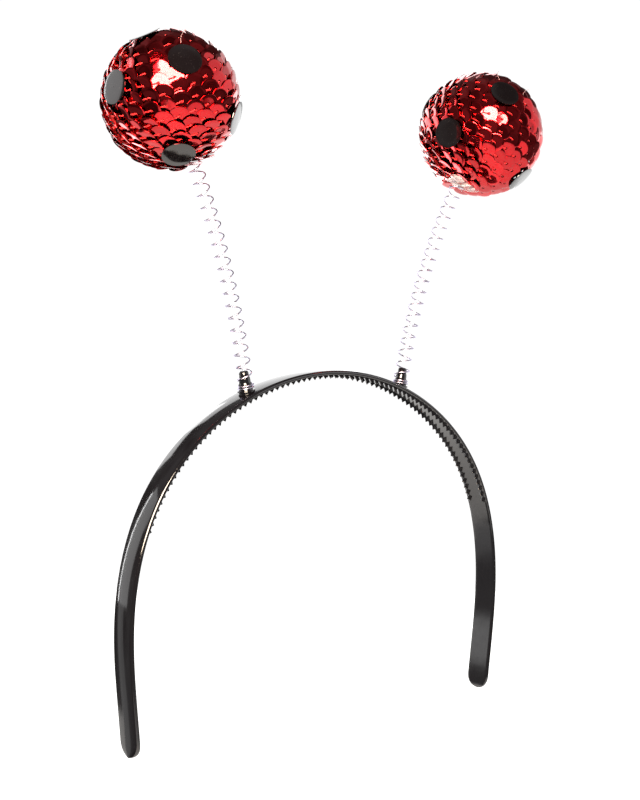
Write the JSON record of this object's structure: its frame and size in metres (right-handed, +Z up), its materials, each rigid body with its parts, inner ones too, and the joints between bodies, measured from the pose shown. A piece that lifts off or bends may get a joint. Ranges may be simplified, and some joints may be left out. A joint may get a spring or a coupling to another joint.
{
  "type": "head bopper",
  "caption": "Plastic headband with comb teeth that carries sequin-covered foam balls on coil springs above the head, so that they bob as the wearer moves",
  "frame": {"origin": "on the top of the wearer's head, where the comb teeth under the crown of the headband rest", "axes": "+X across the head towards the right ball, -Y towards the wearer's face, +Z up"},
  "size_m": [0.186, 0.044, 0.2258],
  "materials": {
    "black_plastic": "polished black moulded plastic",
    "spring_wire": "bright drawn spring wire",
    "red_sequins": "rows of flat red mirror sequins on a foam ball",
    "black_paillettes": "black mirror film discs"
  },
  "bodies": {
    "headband": {"headband": "black_plastic"},
    "left_spring": {"left_spring": "spring_wire"},
    "left_ball": {"left_sequin_ball": "red_sequins", "left_dot_1": "black_paillettes", "left_dot_2": "black_paillettes", "left_dot_3": "black_paillettes", "left_dot_4": "black_paillettes", "left_dot_5": "black_paillettes", "left_dot_6": "black_paillettes", "left_dot_7": "black_paillettes", "left_dot_8": "black_paillettes"},
    "right_spring": {"right_spring": "spring_wire"},
    "right_ball": {"right_sequin_ball": "red_sequins", "right_dot_1": "black_paillettes", "right_dot_2": "black_paillettes", "right_dot_3": "black_paillettes", "right_dot_4": "black_paillettes", "right_dot_5": "black_paillettes", "right_dot_6": "black_paillettes", "right_dot_7": "black_paillettes", "right_dot_8": "black_paillettes"}
  },
  "joints": [
    {"name": "left_sway", "type": "hinge", "parent": "headband", "child": "left_spring", "pos_m": [-0.0407, -0.0001, 0.0196], "axis": [0, 1, 0], "range_deg": [-25, 25], "stiffness_Nm_per_rad": 0.009, "springref_deg": 9.97, "deforming": ["left_spring"]},
    {"name": "left_nod", "type": "hinge", "parent": "left_spring", "child": "left_ball", "pos_m": [-0.0511, -0.001, 0.0489], "axis": [1, 0, 0], "range_deg": [-25, 25], "stiffness_Nm_per_rad": 0.006, "springref_deg": -1.95, "deforming": ["left_spring"]},
    {"name": "right_sway", "type": "hinge", "parent": "headband", "child": "right_spring", "pos_m": [0.0407, -0.0001, 0.0196], "axis": [0, 1, 0], "range_deg": [-25, 25], "stiffness_Nm_per_rad": 0.009, "springref_deg": -9.97, "deforming": ["right_spring"]},
    {"name": "right_nod", "type": "hinge", "parent": "right_spring", "child": "right_ball", "pos_m": [0.0511, -0.001, 0.0489], "axis": [1, 0, 0], "range_deg": [-25, 25], "stiffness_Nm_per_rad": 0.006, "springref_deg": -1.95, "deforming": ["right_spring"]}
  ]
}
